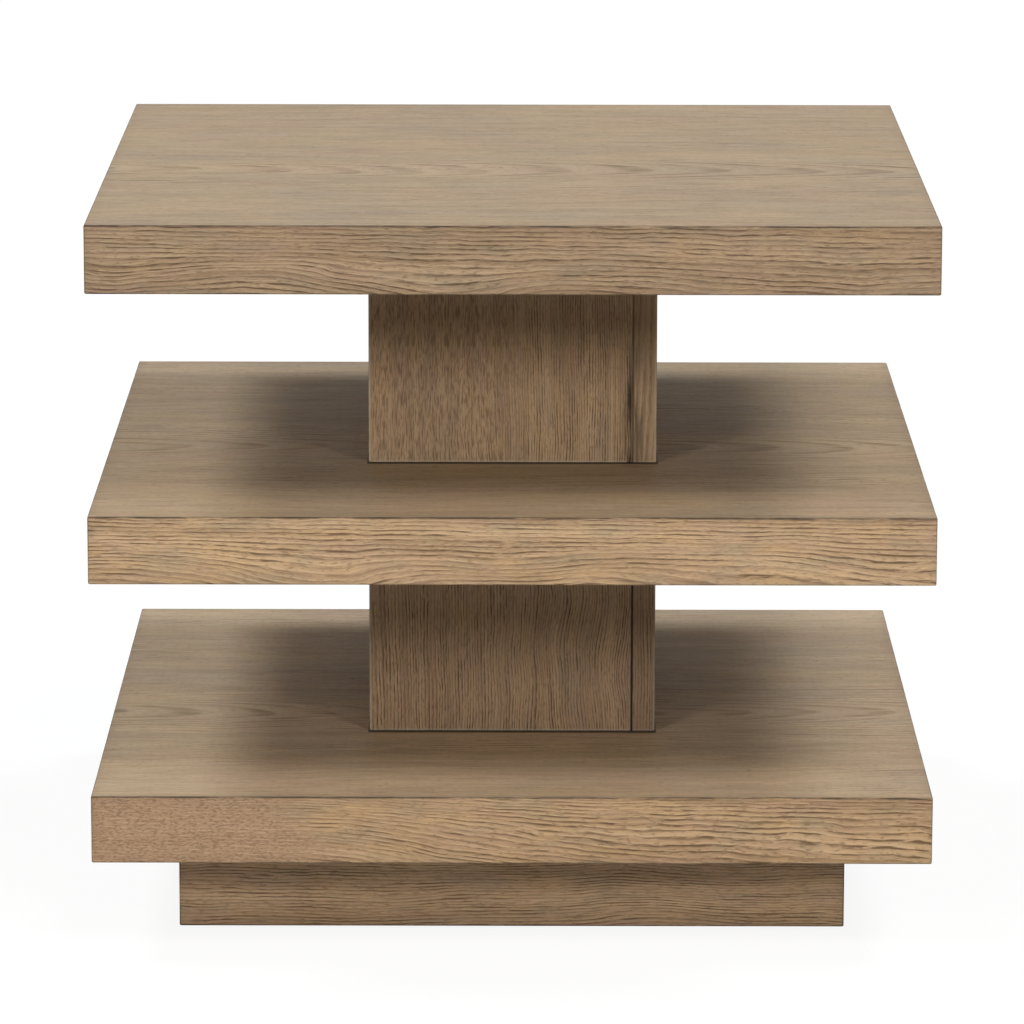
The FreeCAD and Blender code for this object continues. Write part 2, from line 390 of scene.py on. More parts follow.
@dataclass(frozen=True)
class Leaf:
    """How one leaf of veneer was sliced from its log.

    Distances across are measured from the middle of the face: up a board on edge, to the right on an
    upright panel and to the back on a flat one. The grain runs straight at `calm` and sways fully at
    `wild`. The wild grain falls by `drop` over a stretch. Up to `flake_end`, if there is one, short flakes
    take the place of lines: it is measured along a board on edge, and across an upright panel. The whole
    figure is moved along the grain by `start`.
    """

    seed: float
    heart_across: float = -0.15
    heart_depth: float = 0.03
    lean: float = 0.03
    ring: float = 3.1 * MM
    sway: float = 14 * MM
    sway_length: float = 0.22
    ripple: float = 2.2 * MM
    calm: float = 2.0
    wild: float = 1.0
    drop: float = 0.0
    drop_start: float = -0.18
    drop_end: float = 0.06
    flake_end: float | None = None
    flake_fade: float = 25 * MM
    flake_tint: float = 0.7
    start: float = 0.0

    @classmethod
    def drawn(cls, draw: random.Random, width: float, ring: float) -> "Leaf":
        """Draws a leaf for a board that the photograph doesn't show.

        Args:
            draw: the seeded source of random numbers.
            width: width of the board across the grain.
            ring: spacing of the year rings, about.

        Returns:
            The leaf.
        """
        return cls(
            seed=draw.uniform(*SEEDS),
            heart_across=draw.choice((-1, 1)) * draw.uniform(*HEART_SHARES) * width,
            heart_depth=draw.uniform(*HEART_DEPTHS),
            lean=draw.uniform(*LEANS),
            ring=draw.uniform(*RING_SHARES) * ring,
        )


@dataclass(frozen=True)
class Stain:
    """Colours of the stained veneer, and how strongly its pores show."""

    light: Colour = tone(199, 168, 130)
    deep: Colour = tone(172, 142, 107)
    grey: Colour = tone(160, 145, 118)
    gold: Colour = tone(201, 166, 120)
    rose: Colour = tone(188, 154, 125)
    crest: Colour = tone(220, 190, 152)
    pore: Colour = tone(98, 76, 54)
    # Pale colour along arrises and beside a joint: part wear, part painted highlight on the eased arris.
    worn: Colour = tone(206, 190, 166)
    # Dark glaze; the shadow painted round a column's foot takes this colour too.
    glaze: Colour = tone(60, 52, 45)
    line: float = 0.85
    fleck: float = 0.45
    ridge: float = 0.45

    def toned(self, share: float, greyed: float = 0.0) -> "Stain":
        """Gives the same stain brighter or darker, and greyer, over the same dark glaze.

        Args:
            share: what each part of a colour is multiplied by.
            greyed: how far each colour goes towards its own grey, from 0 to 1.

        Returns:
            The changed stain.
        """
        names = ("light", "deep", "grey", "gold", "rose", "crest", "pore", "worn")
        changed = {name: toned(getattr(self, name), share, greyed) for name in names}
        return replace(self, **changed)


@dataclass(frozen=True)
class Arris:
    """Dark glaze that gathered along the edges of a box, or a pale band: part wear, part painted
    highlight.
    """

    low: Vector
    high: Vector
    top_line: float = 0.0
    line: float = 0.0
    shade: float = 0.0
    worn: float = 0.0
    reach: float = 1.5 * MM
    fine: float = 0.4 * MM
    shade_reach: float = 12 * MM

    def gaps(self, place: Place) -> list[Field]:
        """Gives the distance to the nearer face of the box on each axis."""
        middle, half = (self.low + self.high) / 2, (self.high - self.low) / 2
        return [half[axis] - abs(place[axis] - middle[axis]) for axis in range(3)]

    def edge(self, place: Place) -> Field:
        """Gives the distance to the nearest edge of the box, on its faces."""
        gap_x, gap_y, gap_z = self.gaps(place)
        return gap_x.least(gap_y).most(gap_x.most(gap_y).least(gap_z))

    def top_edge(self, place: Place) -> Field:
        """Gives the distance to the nearest upper edge of the box."""
        gap_x, gap_y, _ = self.gaps(place)
        return gap_x.least(gap_y).most(self.high.z - place[2])


@dataclass(frozen=True)
class JointLook:
    """How a column's joints show.

    They show as a dark line, a smear of glaze or a pale arris, part wear and part painted highlight,
    and the lap beside them keeps a share of its pores.
    """

    line: float
    smear: float
    worn: float
    lap_pores: float


@dataclass(frozen=True)
class Joint:
    """A lapped joint in a column: its place, the glaze in it and the smear that ran down beside it."""

    across: float
    base: float
    look: JointLook
    line_width: float = 1.8 * MM
    line_core: float = 0.2 * MM
    run_aside: float = 2.5 * MM
    run_sway: float = 4 * MM
    run_width: float = 5 * MM
    run_least: float = 0.5
    haze_width: float = 14 * MM
    haze: float = 0.7
    smear_height: float = 0.13
    smear_full: float = 65 * MM
    lap_start: float = 0.6 * MM
    lap_end: float = 0.2 * MM
    wobble: Marks = Marks(length=30 * MM, width=1.0, shift=2.2, span=(0.3, 0.6), detail=3.0)
    streaks: Marks = Marks(length=2 * MM, width=50 * MM, shift=4.8, span=(0.36, 0.60), detail=3.0)

    def offset(self, seen: Place) -> Field:
        """Gives the distance to the right of the joint, on the panel's face."""
        return seen[0] - self.across

    def nearest(self, seen: Place) -> Field:
        """Gives the distance to the joint, on the panel's face or on its lap."""
        return abs(seen[0] - self.across).least(abs(seen[1] + self.across))

    def pore_share(self, seen: Place, end: float) -> Field:
        """Gives the share of the pores that shows, which is less on the lap at the panel's end."""
        lap = seen[0].rise(end + self.lap_start, end + self.lap_end)
        return 1.0 - lap * (1.0 - self.look.lap_pores)

    def glaze(self, seen: Place, seed: float) -> Field:
        """Finds the glaze that gathered in the joint and ran down beside it.

        Args:
            seen: coordinates as seen from the panel's side.
            seed: seed of the panel's leaf.

        Returns:
            The glaze's share, from 0 to 1.
        """
        near, z = self.nearest(seen), seen[2]
        wobble = self.wobble.noise(z, 0.0, seed)
        low = (z - self.base).rise(self.smear_height, self.smear_full)
        line = near.rise(self.line_width, self.line_core) * self.look.line
        aside = abs(self.offset(seen) + self.run_aside + (wobble - NOISE_MEAN) * self.run_sway)
        thickness = self.run_least + (1.0 - self.run_least) * wobble.rise(*self.wobble.span)
        run = aside.rise(self.run_width, 0.0) * thickness
        haze = near.rise(self.haze_width, 0.0) * self.streaks.shown(near, z, seed) * low * self.haze
        return line.most((run * low).most(haze) * self.look.smear)


@dataclass(frozen=True)
class Figure:
    """The marks in the veneer of one kind of board, and how they make up its figure.

    A year ring goes from 0 to 1, and its early and late wood rise and fade within it. Bold stretches make
    the dashes darker. The marks of `drift` run across the rings, whose spacing they change.
    """

    dashes: Marks = Marks(17 * MM, 1.0 * MM, shift=8.3, span=(0.38, 0.56), detail=3.0, roughness=0.6)
    flecks: Marks = Marks(6 * MM, 0.9 * MM, shift=11.9, span=(0.52, 0.70))
    flakes: Marks = Marks(3.4 * MM, 1.2 * MM, shift=16.8, span=(0.46, 0.66), detail=1.5)
    streaks: Marks = Marks(0.26, 8 * MM, shift=1.3, span=(0.32, 0.68), detail=3.0, roughness=0.6)
    patches: Marks = Marks(50 * MM, 14 * MM, shift=6.6, span=(0.46, 0.70))
    bold: Marks = Marks(70 * MM, 9 * MM, shift=14.1, span=(0.36, 0.66))
    ripples: Marks = Marks(45 * MM, 20 * MM, shift=3.1)
    drift: Marks = Marks(14 * MM, 0.8, shift=5.7)
    ragged: Marks = Marks(45 * MM, 14 * MM, shift=9.4)
    sway_width: float = 90 * MM
    rings_drifted: float = 2.2
    early_wood: tuple[float, float, float, float] = (0.42, 0.80, 0.92, 1.0)
    late_wood: tuple[float, float, float, float] = (0.0, 0.10, 0.14, 0.34)
    ridge_breaks: Span = (0.35, 0.62)
    faint_dash: float = 0.45
    bold_gain: float = 0.75
    calm_drop: float = 0.35
    patch_step: float = 1.7
    patch_share: float = 0.5
    ragged_fades: float = 4.0
    flake_depth: float = 1.0
    flake_shade: float = 0.85
    flake_cover: float = 0.85


EDGE_FIGURE = Figure()
SKIN_FIGURE = Figure(
    dashes=replace(EDGE_FIGURE.dashes, length=40 * MM, width=2.0 * MM),
    streaks=replace(EDGE_FIGURE.streaks, length=0.4, width=14 * MM),
    patches=replace(EDGE_FIGURE.patches, length=0.11, width=60 * MM),
)
COLUMN_FIGURE = Figure(
    dashes=replace(EDGE_FIGURE.dashes, length=11 * MM, width=0.8 * MM),
    flecks=replace(EDGE_FIGURE.flecks, length=5 * MM, width=0.7 * MM),
    flakes=replace(EDGE_FIGURE.flakes, length=12 * MM, width=1.1 * MM, span=(0.49, 0.62)),
    streaks=replace(EDGE_FIGURE.streaks, width=5 * MM),
    flake_depth=1.2,
)
PLINTH_FIGURE = Figure(dashes=replace(EDGE_FIGURE.dashes, length=24 * MM))


@dataclass(frozen=True)
class Spot:
    """A place in a log, along and across the grain.

    Its distance to the side of the heart, `aside`, is constant along a fibre, and its distance from the
    heart, `rings`, is constant along a year ring's line.
    """

    along: Field
    across: Field
    aside: Field
    rings: Field


@dataclass(frozen=True)
class Oak:
    """Wire-brushed oak veneer, stained grey-brown under a matt lacquer."""

    name: str
    grain: Grain
    side: Side
    leaf: Leaf
    stain: Stain
    arris: Arris
    figure: Figure
    joint: Joint | None = None
    # Half the width of a column that stands on this skin, round which a shadow is painted.
    foot: float | None = None

    glaze_patch: tuple[float, float, float] = (35 * MM, 35 * MM, 20 * MM)
    glaze_breaks: Span = (0.30, 0.62)
    glaze_least: float = 0.25
    # Least share of the pale arris band, which is part wear and part painted highlight.
    worn_least: float = 0.3
    # Painted contact shadow round a column's foot: its reach in front and behind, at the sides, its fade
    # and darkness.
    foot_shadow_reach: float = 8 * MM
    foot_shadow_side: float = 1.5 * MM
    foot_shadow_fade: Span = (1.0, 0.5)
    foot_shadow_strength: float = 0.9
    roughness: float = 0.58
    pore_roughness: float = 0.24
    gloss: float = 0.11
    ridge_height: float = 0.3
    relief: float = 0.14 * MM

    def axes(self, seen: Place) -> tuple[Field, Field]:
        """Finds the ways along and across the grain.

        Args:
            seen: coordinates as seen from the board's side.

        Returns:
            Distance along the grain, and distance across it from the middle of the face, which also
            grows through the board.
        """
        x, y, z = seen
        low, high = self.arris.low, self.arris.high
        if self.grain is Grain.LENGTHWISE:
            along, across = x, z + y - ((low.z + high.z) / 2 + low.y)
        elif self.grain is Grain.UPRIGHT:
            along, across = z, x + y - low.y
        else:
            along, across = x, y + z - high.z
        return along - self.leaf.start, across

    def spot(self, seen: Place) -> Spot:
        """Follows the trunk, which sways a little from end to end.

        Args:
            seen: coordinates as seen from the board's side.

        Returns:
            The place in the log.
        """
        leaf, figure = self.leaf, self.figure
        along, across = self.axes(seen)
        trunk = Marks(leaf.sway_length, figure.sway_width, detail=1.0)
        sway = trunk.swing(along, across, leaf.seed) * (2 * leaf.sway)
        ripple = figure.ripples.swing(along, across, leaf.seed) * (2 * leaf.ripple)
        wild = across.rise(leaf.calm, leaf.wild)
        fall = along.rise(leaf.drop_start, leaf.drop_end) * leaf.drop
        shift = sway * wild + ripple + fall * (figure.calm_drop + (1.0 - figure.calm_drop) * wild)
        aside = across - leaf.heart_across + shift
        depth = leaf.heart_depth + along * leaf.lean
        return Spot(along, across, aside, (aside * aside + depth * depth) ** 0.5)

    def pores(self, spot: Spot) -> tuple[Field, Field, Field]:
        """Finds the open pores that the brushing leaves and the glaze fills.

        Args:
            spot: the place in the log.

        Returns:
            The dashes of early wood, the fine flecks between them and the ridges of late wood, each from
            0 to 1.
        """
        seed, figure = self.leaf.seed, self.figure
        fibre = (spot.along, spot.aside, seed)
        drift = figure.drift.noise(spot.rings, spot.along, seed) * figure.rings_drifted
        phase = (spot.rings / self.leaf.ring + drift).fraction()
        broken = figure.dashes.noise(*fibre)
        strength = figure.faint_dash + figure.bold_gain * figure.bold.shown(*fibre)
        dashes = phase.between(*figure.early_wood) * broken.rise(*figure.dashes.span) * strength
        ridges = phase.between(*figure.late_wood) * broken.rise(*figure.ridge_breaks)
        return dashes.least(1.0), figure.flecks.shown(*fibre), ridges

    def flakes(self, spot: Spot, end: float) -> tuple[Field, Field]:
        """Finds the flakes where the knife ran across the grain.

        Args:
            spot: the place in the log.
            end: where the flakes end.

        Returns:
            The share of the flaky figure, and the dark gaps between its flakes, each from 0 to 1.
        """
        leaf, figure = self.leaf, self.figure
        fibre = (spot.along, spot.aside, leaf.seed)
        reach = spot.aside + leaf.heart_across if self.grain is Grain.UPRIGHT else spot.along
        shifted = reach + figure.ragged.swing(*fibre) * (figure.ragged_fades * leaf.flake_fade)
        flaky = shifted.rise(end + leaf.flake_fade, end - leaf.flake_fade)
        return flaky, figure.flakes.shown(*fibre)

    def ground(self, spot: Spot) -> Socket:
        """Colours the wood between the pores.

        Args:
            spot: the place in the log.

        Returns:
            The colour.
        """
        seed, stain, figure = self.leaf.seed, self.stain, self.figure
        colour = figure.streaks.shown(spot.along, spot.rings, seed).mixed(stain.light, stain.deep)
        for step, tint in enumerate((stain.grey, stain.gold, stain.rose)):
            patches = figure.patches.shown(spot.along, spot.across, seed + figure.patch_step * step)
            colour = (patches * figure.patch_share).mixed(colour, tint)
        return colour

    def wood(self, place: Place) -> tuple[Socket, Field, Field]:
        """Builds the wood itself.

        Args:
            place: coordinates in the table's frame.

        Returns:
            The colour between the pores, the open pores and the ridges of late wood, these two from 0
            to 1.
        """
        leaf, stain, figure = self.leaf, self.stain, self.figure
        seen = self.side.turned(place)
        spot = self.spot(seen)
        dashes, flecks, ridges = self.pores(spot)
        colour = self.ground(spot)
        if leaf.flake_end is not None:
            flaky, gaps = self.flakes(spot, leaf.flake_end)
            colour = (flaky * leaf.flake_tint).mixed(colour, toned(stain.rose, figure.flake_shade))
            dashes = dashes * (1.0 - figure.flake_cover * flaky)
            flecks = flecks.most(gaps * flaky * figure.flake_depth)
        pores = (dashes * stain.line).most(flecks * stain.fleck)
        if self.joint is not None:
            pores = pores * self.joint.pore_share(seen, self.arris.low.x)
        return colour, pores, ridges

    def glaze(self, place: Place, patchy: Field) -> Field:
        """Finds the dark glaze along the arrises and in a joint, and the shadow painted round a column's
        foot.

        Args:
            place: coordinates in the table's frame.
            patchy: noise that breaks the glaze up.

        Returns:
            The share of the dark colour, glaze and painted shadow together, from 0 to 1.
        """
        arris = self.arris
        edge = arris.edge(place)
        held = self.glaze_least + patchy.rise(*self.glaze_breaks) * (1.0 - self.glaze_least)
        line = edge.rise(arris.reach, arris.fine) * arris.line
        top_line = arris.top_edge(place).rise(arris.reach, arris.fine) * arris.top_line
        shade = edge.rise(arris.shade_reach, 0.0) * arris.shade
        glaze = line.most(top_line) * held + shade * patchy
        if self.joint is not None:
            glaze = glaze.most(self.joint.glaze(self.side.turned(place), self.leaf.seed))
        # Painted contact shadow: a dark band on the skin round the column's foot, wider in front and
        # behind than at the sides.
        if self.foot is not None:
            aside = (abs(place[0]) - self.foot) / self.foot_shadow_side
            before = (abs(place[1]) - self.foot) / self.foot_shadow_reach
            glaze = glaze.most(aside.most(before).rise(*self.foot_shadow_fade) * self.foot_shadow_strength)
        return glaze

    def wear_and_highlight(self, place: Place) -> Field:
        """Finds where the arrises and a joint's edge are pale: part wear, part painted highlight.

        Args:
            place: coordinates in the table's frame.

        Returns:
            The pale share, wear and painted highlight together, from 0 to 1.
        """
        arris, joint = self.arris, self.joint
        worn = arris.edge(place).rise(arris.reach, arris.fine) * arris.worn
        if joint is None:
            return worn
        beside = -joint.offset(self.side.turned(place))
        return worn.most(beside.between(0.0, arris.fine, 0.0, arris.reach) * joint.look.worn)

    def material(self) -> Material:
        """Builds the material.

        Returns:
            The finished material.
        """
        graph = ShaderGraph(self.name)
        place = graph.place()
        stain, sizes = self.stain, self.glaze_patch
        x, y, z = (way / size for way, size in zip(place, sizes))
        patchy = smooth_noise((x, y, z + self.leaf.seed), detail=3.0, roughness=0.6)
        colour, pores, ridges = self.wood(place)
        colour = (ridges * stain.ridge).mixed(colour, stain.crest)
        colour = pores.mixed(colour, stain.pore)
        # Pale arrises and joint edge: part wear, part painted highlight on the eased arris.
        colour = (self.wear_and_highlight(place) * (self.worn_least + patchy)).mixed(colour, stain.worn)
        # Dark glaze along arrises and joints, and the painted shadow round a column's foot.
        colour = self.glaze(place, patchy).mixed(colour, stain.glaze)
        return graph.surface(
            {
                "Base Color": colour,
                "Roughness": self.roughness + pores * self.pore_roughness,
                "Specular IOR Level": self.gloss,
            },
            height=1.0 - pores + ridges * self.ridge_height,
            depth=self.relief,
        )


@dataclass(frozen=True)
class RawWood:
    """Unstained wood as the saw or the lathe left it, with the grain along one axis."""

    name: str
    along: Axis
    light: Colour
    dark: Colour
    ring: float = 4.5 * MM

    bends: Marks = Marks(length=0.12, width=50 * MM)
    fibres: Marks = Marks(length=20 * MM, width=0.7 * MM, span=(0.45, 0.75), detail=3.0)
    saw: Marks = Marks(length=2.4 * MM, width=0.2, detail=1.0)
    smudges: Marks = Marks(length=90 * MM, width=30 * MM, span=(0.45, 0.8))
    seed: float = 4.0
    heart_depth: float = 30 * MM
    sway: float = 8 * MM
    late_wood: Span = (0.35, 0.95)
    late_share: float = 0.75
    fibre_share: float = 0.35
    smudge_share: float = 0.3
    roughness: float = 0.72
    fibre_roughness: float = 0.2
    gloss: float = 0.25
    saw_height: float = 0.6
    relief: float = 0.2 * MM

    def material(self) -> Material:
        """Builds the material.

        Returns:
            The finished material.
        """
        graph = ShaderGraph(self.name)
        place = graph.place()
        turned = place[self.along.value :] + place[: self.along.value]
        kinds = (self.bends, self.fibres, self.saw, self.smudges)
        bends, fibres, saw, smudges = (marks.solid(turned, self.seed) for marks in kinds)
        first, second = turned[1], turned[2] + self.heart_depth
        distance = (first * first + second * second) ** 0.5 + (bends - NOISE_MEAN) * self.sway
        late = (distance / self.ring).fraction().rise(*self.late_wood)
        colour = (late * self.late_share).mixed(self.light, self.dark)
        colour = (fibres.rise(*self.fibres.span) * self.fibre_share).mixed(colour, self.dark)
        smudged = smudges.rise(*self.smudges.span) * self.smudge_share
        return graph.surface(
            {
                "Base Color": smudged.mixed(colour, self.dark, "MULTIPLY"),
                "Roughness": self.roughness + fibres * self.fibre_roughness,
                "Specular IOR Level": self.gloss,
            },
            height=saw * self.saw_height + fibres * (1.0 - self.saw_height),
            depth=self.relief,
        )


@dataclass(frozen=True)
class ZincPlate:
    """Yellow passivated zinc on steel screws."""

    name: str = "yellow_zinc_plate"
    bright: Colour = tone(205, 190, 140)
    dull: Colour = tone(150, 138, 112)
    bloom: Marks = Marks(length=2 * MM, width=2 * MM, span=(0.35, 0.70), detail=3.0)
    grit: Marks = Marks(length=0.3 * MM, width=0.3 * MM)
    roughness: float = 0.28
    bloom_roughness: float = 0.22
    relief: float = 0.02 * MM

    def material(self) -> Material:
        """Builds the material.

        Returns:
            The finished material.
        """
        graph = ShaderGraph(self.name)
        place = graph.place()
        bloom = self.bloom.solid(place)
        colour = bloom.rise(*self.bloom.span).mixed(self.bright, self.dull)
        rough = self.roughness + bloom * self.bloom_roughness
        sockets = {"Base Color": colour, "Metallic": 1.0, "Roughness": rough}
        return graph.surface(sockets, self.grit.solid(place), self.relief)


@dataclass(frozen=True)
class Nylon:
    """Brown moulded nylon of the tack glides, scuffed near the floor."""

    name: str = "brown_nylon"
    base: Colour = tone(62, 50, 40)
    scuffed: Colour = tone(98, 86, 74)
    scuff_sizes: tuple[float, float, float] = (0.6 * MM, 6 * MM, 2 * MM)
    scuff_span: Span = (0.52, 0.70)
    scuff_height: float = 1.2 * MM
    grit: Marks = Marks(length=0.5 * MM, width=0.5 * MM)
    roughness: float = 0.42
    scuff_roughness: float = 0.3
    grit_roughness: float = 0.1
    relief: float = 0.04 * MM

    def material(self) -> Material:
        """Builds the material.

        Returns:
            The finished material.
        """
        graph = ShaderGraph(self.name)
        place = graph.place()
        point = [way / size for way, size in zip(place, self.scuff_sizes)]
        scuffs = smooth_noise(point, detail=3.0, roughness=0.6).rise(*self.scuff_span)
        worn = scuffs * place[2].rise(self.scuff_height, 0.0)
        grit = self.grit.solid(place)
        rough = self.roughness + worn * self.scuff_roughness + grit * self.grit_roughness
        sockets = {"Base Color": worn.mixed(self.base, self.scuffed), "Roughness": rough}
        return graph.surface(sockets, grit, self.relief)


EDGE_STAIN = Stain()
SKIN_STAIN = Stain(
    light=tone(190, 166, 135),
    deep=tone(174, 152, 124),
    grey=tone(168, 152, 130),
    gold=tone(192, 166, 128),
    rose=tone(184, 156, 130),
    crest=tone(204, 182, 150),
    pore=tone(110, 91, 68),
    line=0.6,
    ridge=0.3,
)
BACKING_STAIN = replace(SKIN_STAIN, line=0.45, fleck=0.25)
COLUMN_STAIN = Stain(
    light=tone(190, 162, 128),
    deep=tone(166, 139, 108),
    grey=tone(158, 141, 118),
    gold=tone(190, 158, 116),
    rose=tone(178, 146, 120),
    crest=tone(208, 180, 144),
    pore=tone(84, 65, 47),
)
# Brighter and darker copies of one stain: partly the pieces' own tone, partly painted light and shade that
# evens out the light each piece gets.
LOWER_COLUMN_STAIN_AND_LIGHT = COLUMN_STAIN.toned(share=0.93, greyed=0.11)
UPPER_COLUMN_STAIN_AND_LIGHT = COLUMN_STAIN.toned(share=1.20, greyed=0.10)
PLINTH_STAIN_AND_LIGHT = COLUMN_STAIN.toned(share=1.05, greyed=0.05)
PINE_LIGHT = tone(214, 184, 140)
PINE_DARK = tone(184, 144, 98)
BEECH_LIGHT = tone(214, 178, 140)
BEECH_DARK = tone(188, 148, 110)

ARCHED = Leaf(
    seed=22.8, heart_across=-45 * MM, calm=20 * MM, wild=-30 * MM, sway=30 * MM, sway_length=0.17
)
FLAT = Leaf(
    seed=61.5, heart_across=-0.05, heart_depth=0.09, lean=0.05, sway=30 * MM, sway_length=0.4
)
LOWER_COLUMN_LEAF = Leaf(
    seed=27.8, ring=2.3 * MM, calm=-50 * MM, wild=40 * MM, sway=11 * MM, sway_length=0.09
)
UPPER_COLUMN_LEAF = Leaf(
    seed=38.1, ring=2.1 * MM, sway=5 * MM, flake_end=-5 * MM, flake_fade=22 * MM, flake_tint=0.1
)
PLINTH_LEAF = Leaf(seed=72.6, ring=2.5 * MM)
# The crisp joint's pale arris is part wear, part painted highlight.
CRISP_JOINT = JointLook(line=1.0, smear=0.15, worn=0.6, lap_pores=0.8)
SMEARED_JOINT = JointLook(line=0.4, smear=1.0, worn=0.0, lap_pores=0.5)


def dress(node: str, material: Material) -> None:
    """Gives a CAD node its finish.

    Args:
        node: the node's name.
        material: the finish.
    """
    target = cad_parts[node].data
    target.materials.clear()
    target.materials.append(material)
    LOG.info("%s finished in %s", node, material.name)


def box_of(nodes: Sequence[str]) -> tuple[Vector, Vector]:
    """Gives the box round several CAD nodes.

    Args:
        nodes: names of the nodes.

    Returns:
        The lowest and the highest corner.
    """
    boxes = [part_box(node) for node in nodes]
    low = Vector([min(box[0][axis] for box in boxes) for axis in range(3)])
    high = Vector([max(box[1][axis] for box in boxes) for axis in range(3)])
    return low, high


def solids_of(node: str) -> list[tuple[Vector, Vector]]:
    """Finds the separate solids of a CAD node.

    Args:
        node: the node's name.

    Returns:
        The box of each solid, in the order of the mesh.
    """
    shape = bmesh.new()
    shape.from_mesh(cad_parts[node].data)
    bmesh.ops.remove_doubles(shape, verts=shape.verts, dist=WELD)
    for vertex in shape.verts:
        vertex.tag = False
    boxes = []
    for start in shape.verts:
        if start.tag:
            continue
        start.tag = True
        reached = [start]
        for vertex in reached:
            for edge in vertex.link_edges:
                other = edge.other_vert(vertex)
                if not other.tag:
                    other.tag = True
                    reached.append(other)
        corners = [[point.co[axis] for point in reached] for axis in range(3)]
        boxes.append((Vector([min(c) for c in corners]), Vector([max(c) for c in corners])))
    shape.free()
    return boxes


class TurnedTree(NodeGraph):
    """Geometry Nodes that turn a shape on its axis and set copies of it on points."""

    def __init__(self, name: str) -> None:
        """Makes the tree, which takes points and the length and radius of a piece.

        Args:
            name: the tree's name.
        """
        super().__init__(bpy.data.node_groups.new(name, "GeometryNodeTree"))
        face = self.tree.interface
        face.new_socket("Points", in_out="INPUT", socket_type="NodeSocketGeometry")
        for label in ("Length", "Radius"):
            face.new_socket(label, in_out="INPUT", socket_type="NodeSocketFloat")
        face.new_socket("Pieces", in_out="OUTPUT", socket_type="NodeSocketGeometry")
        self.entry = self.node("NodeGroupInput")
        self.length = Field(self, self.entry.outputs["Length"])
        self.radius = Field(self, self.entry.outputs["Radius"])

    def chosen(self, options: Sequence[Field | float]) -> Field:
        """Gives each point along a line its own value.

        Args:
            options: the values, in the order of the points.

        Returns:
            The value of the point at hand.
        """
        pick = self.node("GeometryNodeIndexSwitch", data_type="FLOAT")
        while len(pick.index_switch_items) < len(options):
            pick.index_switch_items.new()
        self.feed(pick.inputs["Index"], self.out("GeometryNodeInputIndex"))
        for place, option in enumerate(options, start=1):
            self.feed(pick.inputs[place], option)
        return Field(self, pick.outputs[0])

    def swept(self, spine: Socket, section: Socket, radius: Field | float) -> Socket:
        """Sweeps a section along a curve.

        Args:
            spine: the curve.
            section: a section of radius 1.
            radius: scale of the section.

        Returns:
            The closed mesh.
        """
        sockets = {"Curve": spine, "Profile Curve": section, "Scale": radius, "Fill Caps": True}
        return self.out("GeometryNodeCurveToMesh", sockets)

    def turned(self, steps: Sequence[tuple[Field | float, Field | float]], section: Socket) -> Socket:
        """Turns a closed body whose section grows and shrinks along +Z.

        Args:
            steps: the height of each step, and the scale of the section there.
            section: a section of radius 1.

        Returns:
            The body's mesh.
        """
        heights, radii = zip(*steps)
        line = self.out("GeometryNodeMeshLine", {"Count": len(steps)})
        rise = self.out("ShaderNodeCombineXYZ", {"Z": self.chosen(heights)})
        stepped = self.out("GeometryNodeSetPosition", {"Geometry": line, "Position": rise})
        spine = self.out("GeometryNodeMeshToCurve", {"Mesh": stepped})
        return self.swept(spine, section, self.chosen(radii))

    def circle(self, corners: int) -> Socket:
        """Gives a round section of radius 1."""
        return self.out("GeometryNodeCurvePrimitiveCircle", {"Resolution": corners, "Radius": 1.0})

    def close(self, shape: Socket, material: Material) -> None:
        """Sets the shape on every point, turned as the point says, and ends the tree.

        Args:
            shape: the mesh to repeat.
            material: its finish.
        """
        turn = self.out("GeometryNodeInputNamedAttribute", {"Name": "turn"}, data_type="FLOAT_VECTOR")
        rotation = self.out("FunctionNodeEulerToRotation", {"Euler": turn})
        sockets = {"Points": self.entry.outputs["Points"], "Instance": shape, "Rotation": rotation}
        copies = self.out("GeometryNodeInstanceOnPoints", sockets)
        real = self.out("GeometryNodeRealizeInstances", {"Geometry": copies})
        dressed = self.out("GeometryNodeSetMaterial", {"Geometry": real, "Material": material})
        self.node("NodeGroupOutput", {"Pieces": dressed})

    def piece(
        self, name: str, stances: Sequence[tuple[Vector, Vector]], length: float, radius: float
    ) -> bpy.types.Object:
        """Runs the tree on some points and keeps the result as a plain mesh.

        Args:
            name: name of the piece.
            stances: where each copy's base stands, and how it is turned, as Euler angles.
            length: length of a copy.
            radius: radius of a copy.

        Returns:
            The piece, at the origin.
        """
        cloud = bpy.data.meshes.new(f"{name}_points")
        cloud.from_pydata([tuple(place) for place, _ in stances], [], [])
        turn = cloud.attributes.new("turn", "FLOAT_VECTOR", "POINT")
        for index, (_, angle) in enumerate(stances):
            turn.data[index].vector = angle
        carrier = bpy.data.objects.new(f"{name}_carrier", cloud)
        bpy.context.scene.collection.objects.link(carrier)
        modifier = carrier.modifiers.new("copies", "NODES")
        modifier.node_group = self.tree
        sizes = {"Length": length, "Radius": radius}
        for item in self.tree.interface.items_tree:
            if item.name in sizes:
                modifier[item.identifier] = sizes[item.name]
        scene_state = bpy.context.evaluated_depsgraph_get()
        mesh = bpy.data.meshes.new_from_object(carrier.evaluated_get(scene_state))
        carrier.modifiers.remove(modifier)
        bpy.data.objects.remove(carrier)
        made = bpy.data.objects.new(name, mesh)
        bpy.context.scene.collection.objects.link(made)
        return made


